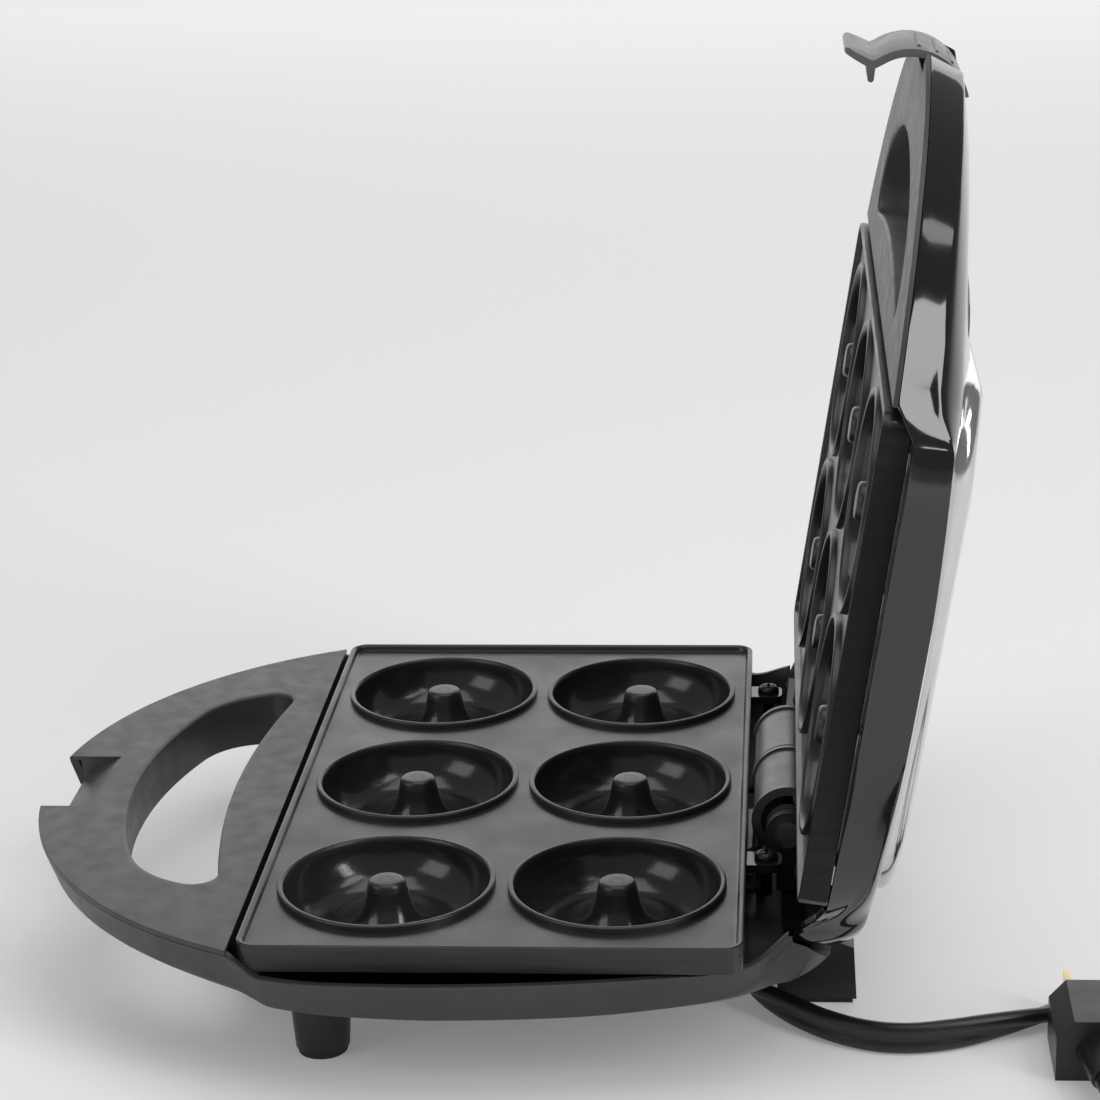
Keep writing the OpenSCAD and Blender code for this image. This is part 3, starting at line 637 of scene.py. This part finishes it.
def slot_cutters(place):
    """The latch's slot in the lid's handle: outside a cylinder, in front of a line."""
    reach = math.degrees(math.acos((SLOT_FRONT - SLOT_C[0]) / SLOT_R))
    outline = arc(SLOT_C, SLOT_R, reach, 360 - reach, 40)
    outline += [(SLOT_FRONT, -14), (-150, -14), (-150, 26), (SLOT_FRONT, 26)]
    return cutter_object(*prism(outline, -NOTCH_W - 0.1, NOTCH_W + 0.1, sideways(place)))


def open_lid_cutter():
    """The room of the open lid's rear, which the base's back edge makes way for."""
    outline = [edge(v, -1) for v in ROUND if edge(v, 0)[1] > 60]
    return cutter_object(*prism(outline, 0.4, 60, upright(in_lid)))


def make_base_shell():
    piece = mesh_object("base_housing", *skin(in_base), HOUSING, "base")
    carve(piece, [
        cutter_object(*prism(hand_hole(2.3), -2, 45, upright(in_base))),
        open_lid_cutter(),
        cutter_object(*prism(box_outline(-NOTCH_W, -150, NOTCH_W, -130.6), -2, 30, upright(in_base))),
        cutter_object(*prism(box_outline(-NOTCH_W, -132, NOTCH_W, -124.5), -2, 12.6, upright(in_base))),
    ])
    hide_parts("base_shell")


def make_lid_shell():
    piece = mesh_object("lid_housing", *skin(in_lid), GLOSS, "lid")
    carve(piece, [cutter_object(*prism(hand_hole(2.3), -2, 45, upright(in_lid))), slot_cutters(in_lid)])
    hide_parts("lid_shell")


FIELD_R = 22
FIELD = (82, -64, 77)    # half width, front and rear


def field(w, front, rear, inset):
    """The raised field's outline: a rectangle with round corners."""
    r = FIELD_R - inset
    found = []
    for x, y, start in ((w - FIELD_R, front + FIELD_R, -90), (w - FIELD_R, rear - FIELD_R, 0),
                        (FIELD_R - w, rear - FIELD_R, 90), (FIELD_R - w, front + FIELD_R, 180)):
        found += arc((x, y), r, start, start + 90, 12)
    return found


def ball_depth(x, y, proud):
    return CROWN + proud - DOME_R + math.sqrt(DOME_R ** 2 - x * x - (y - DOME_Y) ** 2)


def make_top_panel():
    """Pressed steel skin: soft shoulders round a slightly domed face."""
    loops = []
    for inset, proud in ((0.6, -0.6), (0, -0.6), (0, 0.6), (0.15, 1.7), (0.6, 2.6), (1.3, 3.25), (2.2, 3.7),
                         (3.4, 3.95), (5, 4)):
        loops.append([in_lid((x, y, ball_depth(x, y, proud))) for x, y in field(*FIELD, inset)])
    rim = field(*FIELD, 5)
    for shrink in (0.85, 0.65, 0.45, 0.25, 0.08):
        inner = [(x * shrink, 6.5 + (y - 6.5) * shrink) for x, y in rim]
        loops.append([in_lid((x, y, ball_depth(x, y, 4))) for x, y in inner])
    piece = mesh_object("top_panel", *rings(loops), STEEL, "lid")
    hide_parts("lid_top_panel")


def soften_edges(piece, width, angle):
    """Rounds every edge that bends more than the angle."""
    bevel = piece.modifiers.new("round", "BEVEL")
    bevel.width = width * MM
    bevel.segments = 3
    bevel.limit_method = "ANGLE"
    bevel.angle_limit = math.radians(angle)
    bevel.harden_normals = False
    bpy.context.view_layer.update()
    apply_modifiers(piece)


def front_half(inset):
    """The outline in front of the body, closed by a straight line."""
    line = BODY_Y + 0.8
    right = [edge(v, inset) for v in ROUND if v[4] > 0 and edge(v, inset)[1] < line]
    left = [(-x, y) for x, y in right[:0:-1]]
    end = right[-1][0] + 0.4
    return right + [(end, line), (-end, line)] + left


def lining(place):
    """The hand hole's wall, whose mouth rounds over into the deck."""
    def loop(grow, depth):
        return [place((x, y, dome(x, y) - 0.3 + depth if depth <= 0 else depth)) for x, y in hand_hole(grow)]

    loops = [loop(2, DECK + 0.02), loop(0.9, DECK), loop(0.35, DECK + 0.15), loop(0.08, DECK + 0.45)]
    loops += [loop(0, DECK + 0.9), loop(0, -0.6), loop(0.2, -0.1), loop(0.7, 0), loop(1.4, 0), loop(2, -0.5)]
    loops.append(loop(2, DECK + 0.6))
    return rings(loops + loops[:1], close=False)


def make_cover(name, node, body, place, cutters):
    """A handle's deck with a soft rim, and the lining of its hand hole."""
    loops = []
    for inset, depth in ((0.35, DECK), (0.1, DECK + 0.12), (0, DECK + 0.4), (0, DECK + 1.2)):
        loops.append([place((x, y, depth)) for x, y in front_half(inset)])
    piece = mesh_object(name, *rings(loops), DECKS_PAINTED_SHEEN, body)
    carve(piece, [cutter_object(*prism(hand_hole(1.9), -2, 45, upright(place)))] + cutters)
    wall = prism(box_outline(-100.5, BODY_Y - 1.4, 100.5, BODY_Y + 0.8), DECK + 1, 13, upright(place))
    edge_wall = mesh_object(name + "_wall", *join([lining(place), wall]), DECKS_PAINTED_SHEEN, body)
    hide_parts(node)


def make_base_cover():
    front = -121.5
    make_cover("base_deck", "base_handle_cover", "base", in_base,
               [cutter_object(*prism(box_outline(-NOTCH_W, -150, NOTCH_W, front), -2, 6, upright(in_base)))])
    lip = (-132, 7.7)
    profile = [(front + 1.5, DECK + 0.02), (front + 1.5, DECK + 2.2), (front - 1, DECK + 3.2),
               (lip[0] + 2.5, lip[1] + 0.9), (lip[0] + 0.8, lip[1] + 0.8), lip, (lip[0] + 0.6, lip[1] - 0.5),
               (front - 0.6, DECK + 0.4), (front + 0.2, DECK + 0.02)]
    cheek = [(-133.6, 3.1), (-133, 9.4), (-119.8, 9.4), (-119.8, 3.1)]
    parts = [prism(profile, -NOTCH_W, NOTCH_W, sideways(in_base))]
    for s in (-1, 1):
        parts.append(prism(cheek, s * (NOTCH_W - 0.05), s * (NOTCH_W + 1.55), sideways(in_base)))
    ramp = mesh_object("thumb_ramp", *join(parts), DECKS_PAINTED_SHEEN, "base", sharp=50)


# ---------------------------------------------------------------- heating plates
PITCH_X, PITCH_Y = 69.9, 61.6
LUG_X, SCREW_Y = (-76, 49), 70.3
CUP_MIDDLE, CUP_HALF = 16.6, 10.8   # the trough's mid radius and half width


def plate_outline(inset, r=5.0):
    w, l, r = 110.5 - inset, 65 - inset, max(1.2, r - inset)
    found = []
    for x, y, start in ((w - r, r - l, -90), (w - r, l - r, 0), (r - w, l - r, 90), (r - w, r - l, 180)):
        found += arc((x, y), r, start, start + 90, 8)
    return found


def cup_profile():
    """A ring cavity's section as (radius, depth): round the front face, then back along the rear one."""
    front = [(29.15, 4.0), (29.15, 0.75), (29.0, 0.45), (28.7, 0.28), (28.3, 0.25), (27.95, 0.3)]
    front.append((27.65, 0.5))
    front += [(CUP_MIDDLE + CUP_HALF * math.cos(math.radians(a)), 0.75 + 12.75 * math.sin(math.radians(a)))
              for a in range(3, 91, 3)]
    front += [(15.2, 13.46), (13.6, 13.28), (12.0, 12.86), (10.5, 12.15), (9.2, 11.15), (8.1, 9.85),
              (7.2, 8.3), (6.5, 6.6), (5.95, 4.9), (5.5, 3.2), (5.15, 1.8), (4.95, 1.05), (4.7, 0.6),
              (4.3, 0.33), (3.8, 0.25), (1.6, 0.25)]
    back = [(1.6, 4.2)] + [
        (CUP_MIDDLE + (CUP_HALF + 2.1) * math.cos(math.radians(a)), 2.4 + 13.3 * math.sin(math.radians(a)))
        for a in range(168, 11, -6)
    ]
    return front + back


def turned(profile, centre, place, steps=72):
    """A closed section turned about an upright axis."""
    loops = []
    for k in range(steps):
        a = 2 * math.pi * k / steps
        c, s = math.cos(a), math.sin(a)
        loops.append([place((centre[0] + r * c, centre[1] + r * s, d)) for r, d in profile])
    return rings(loops + loops[:1], close=False)


def solid_turned(profile, centre, place, steps=32):
    """A solid of revolution from (radius, depth) pairs, capped at both ends."""
    loops = []
    for r, d in profile:
        loops.append([place((centre[0] + r * math.cos(2 * math.pi * k / steps),
                             centre[1] + r * math.sin(2 * math.pi * k / steps), d)) for k in range(steps)])
    return rings(loops)


def make_plate(name, node, body, place, material, mirror):
    """Tray with a rounded bead, six ring cavities and the two lugs at the back."""
    levels = [(3, 5), (3, 7.7), (0.25, 7.7), (0, 7.45), (0, 0.8), (0.1, 0.5), (0.4, 0.29), (0.8, 0.25),
              (1.2, 0.31), (1.6, 0.6), (1.85, 1.2), (2.1, 1.75), (2.5, 1.97), (3.0, 2.0)]
    loops = [[place((x, y, d)) for x, y in plate_outline(inset)] for inset, d in levels]
    piece = mesh_object(name, *rings(loops), material, body)
    centres = [(i * PITCH_X, j * PITCH_Y) for i in (-1, 0, 1) for j in (-0.5, 0.5)]
    carve(piece, [cutter_object(*solid_turned([(28.4, -3), (28.4, 20)], c, place, 72)) for c in centres])
    cups = [turned(cup_profile(), c, place) for c in centres]
    posts = [solid_turned([(1.7, 0.25), (1.7, 4.2)], c, place) for c in centres]
    for x in (mirror * at for at in LUG_X):
        lug = [(x - 4.5, 64), (x + 4.5, 64)]
        lug += arc((x + 2, 72), 2.5, 0, 90, 5) + arc((x - 2, 72), 2.5, 90, 180, 5)
        cups.append(prism(lug, 3.2, 5.6, upright(place)))
    ring_cups = mesh_object(name + "_cavities", *join(cups + posts), material, body, sharp=50)
    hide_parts(node)


def make_plate_screws(name, node, body, place, mirror):
    """Pan heads with a cross recess."""
    parts = []
    cutters = []
    head = [(0.6, 0.9), (1.5, 0.95), (2.3, 1.2), (2.9, 1.6), (3.25, 2.2), (3.3, 3.18), (1.6, 3.18)]
    head.append((1.6, 13.6))
    for x in (mirror * at for at in LUG_X):
        parts.append(solid_turned(head, (x, SCREW_Y), place))
        for wide, long in ((1.9, 0.35), (0.35, 1.9)):
            cross = box_outline(x - wide, SCREW_Y - long, x + wide, SCREW_Y + long)
            cutters.append(cutter_object(*prism(cross, 0, 2.3, upright(place))))
    piece = mesh_object(name, *join(parts), BLACK_STEEL, body)
    carve(piece, cutters)
    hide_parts(node)


# ---------------------------------------------------------------- latch
LATCH_C, LATCH_IN, LATCH_T, LATCH_HALF = (-122, 0.5), 13.5, 2.1, 16.5
PIN_AT = (-125, 11.5)


def make_latch():
    """Curved plate with three short ribs, a thumb tab with round corners and the tooth under it."""
    profile = arc(LATCH_C, LATCH_IN + LATCH_T, 110, 222, 38)
    profile += [(-132.95, -11.2), (-134.85, -17.4)] + arc((-134.0, -17.8), 0.86, 160, 340, 8)
    profile += [(-131.25, -12.5), (-128.1, -11.7)] + arc((-128.1, -10.85), 0.85, -90, 90, 6)
    profile += [(-131.0, -10.1)] + arc(LATCH_C, LATCH_IN, 220, 110, 37)
    plate = prism(profile, -LATCH_HALF, LATCH_HALF, sideways(in_lid))
    piece = mesh_object("latch_plate", *plate, LATCH, "latch")
    cutters = []
    for s in (-1, 1):
        corner = [(18, -21), (18, -12.2)] + arc((9.9, -12.2), 6.6, 0, -90, 9) + [(9.9, -21)]
        outline = [(s * x, depth) for x, depth in corner]
        cutters.append(cutter_object(*prism(outline, -145, -120, lambda p, y: in_lid((p[0], y, p[1])))))
    carve(piece, cutters)
    soften_edges(piece, 0.35, 50)
    clean(piece, 40)
    parts = [prism(arc(PIN_AT, 2.6, 0, 345, 23), -LATCH_HALF + 0.1, LATCH_HALF - 0.1, sideways(in_lid))]
    for middle in arc(LATCH_C, LATCH_IN + LATCH_T, 144, 180, 2):
        parts.append(prism(arc(middle, 0.5, 0, 330, 11), -10, 11, sideways(in_lid)))
    ribs = mesh_object("latch_ribs", *join(parts), LATCH, "latch", sharp=50)
    carve(ribs, [cutter_object(*prism(arc(PIN_AT, 1.55, 0, 345, 23), -20, 20, sideways(in_lid)))], 50)
    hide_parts("latch")


make_base_shell()
make_lid_shell()
make_latch()
make_plate("lower_casting", "lower_plate", "base", in_base, LOWER, 1)
make_plate("upper_casting", "upper_plate", "lid", in_lid, UPPER, -1)
make_plate_screws("lower_screws", "lower_plate_screws", "base", in_base, 1)
make_plate_screws("upper_screws", "upper_plate_screws", "lid", in_lid, -1)
make_top_panel()
make_base_cover()
make_cover("lid_deck", "lid_handle_cover", "lid", in_lid, [slot_cutters(in_lid)])


# ---------------------------------------------------------------- stage
def area_light(name, place, target, size, power):
    """A white soft box that faces its target."""
    data = bpy.data.lights.new(name, "AREA")
    data.shape = "RECTANGLE"
    data.size, data.size_y = size
    data.energy = power
    light = bpy.data.objects.new(name, data)
    light.location = place
    light.rotation_euler = (Vector(target) - Vector(place)).to_track_quat("-Z", "Y").to_euler()
    bpy.context.scene.collection.objects.link(light)


def make_stage():
    """A pale floor and soft boxes round the object."""
    mesh = bpy.data.meshes.new("floor")
    corners = box_outline(-6, -6, 6, 6)
    mesh.from_pydata([(x, y, 0) for x, y in corners], [], [(0, 1, 2, 3)])
    floor = bpy.data.objects.new("floor", mesh)
    bpy.context.scene.collection.objects.link(floor)
    pale = bpy.data.materials.new("pale_floor")
    pale.use_nodes = True
    surface = pale.node_tree.nodes["Principled BSDF"].inputs
    surface["Base Color"].default_value = (0.86, 0.86, 0.86, 1)
    surface["Emission Color"].default_value = (1, 1, 1, 1)
    surface["Emission Strength"].default_value = 0.16
    surface["Roughness"].default_value = 0.9
    surface["Specular IOR Level"].default_value = 0.1
    mesh.materials.append(pale)
    world = bpy.data.worlds.new("studio")
    world.use_nodes = True
    world.node_tree.nodes["Background"].inputs["Color"].default_value = (1, 1, 1, 1)
    world.node_tree.nodes["Background"].inputs["Strength"].default_value = 0.22
    bpy.context.scene.world = world
    bpy.context.scene.view_settings.view_transform = "Standard"
    area_light("backdrop", (-2.1, 0, 0.66), (0, 0, 0.66), (3.2, 1.2), 14)
    area_light("back_box", (-1.7, -0.1, 0.95), (0, 0, 0.05), (1.8, 0.9), 1.5)
    area_light("top_box", (0.1, 0.0, 1.7), (0, 0, 0), (1.3, 1.3), 8)
    area_light("side_box", (0.85, 1.45, 0.95), (0.1, 0.1, 0.18), (0.42, 0.95), 8)
    area_light("high_side", (0.45, 1.15, 1.75), (0.1, 0.1, 0.22), (1.1, 0.5), 5)
    area_light("front_box", (0.9, -1.3, 0.9), (0, 0, 0.1), (0.9, 0.9), 4)


make_stage()
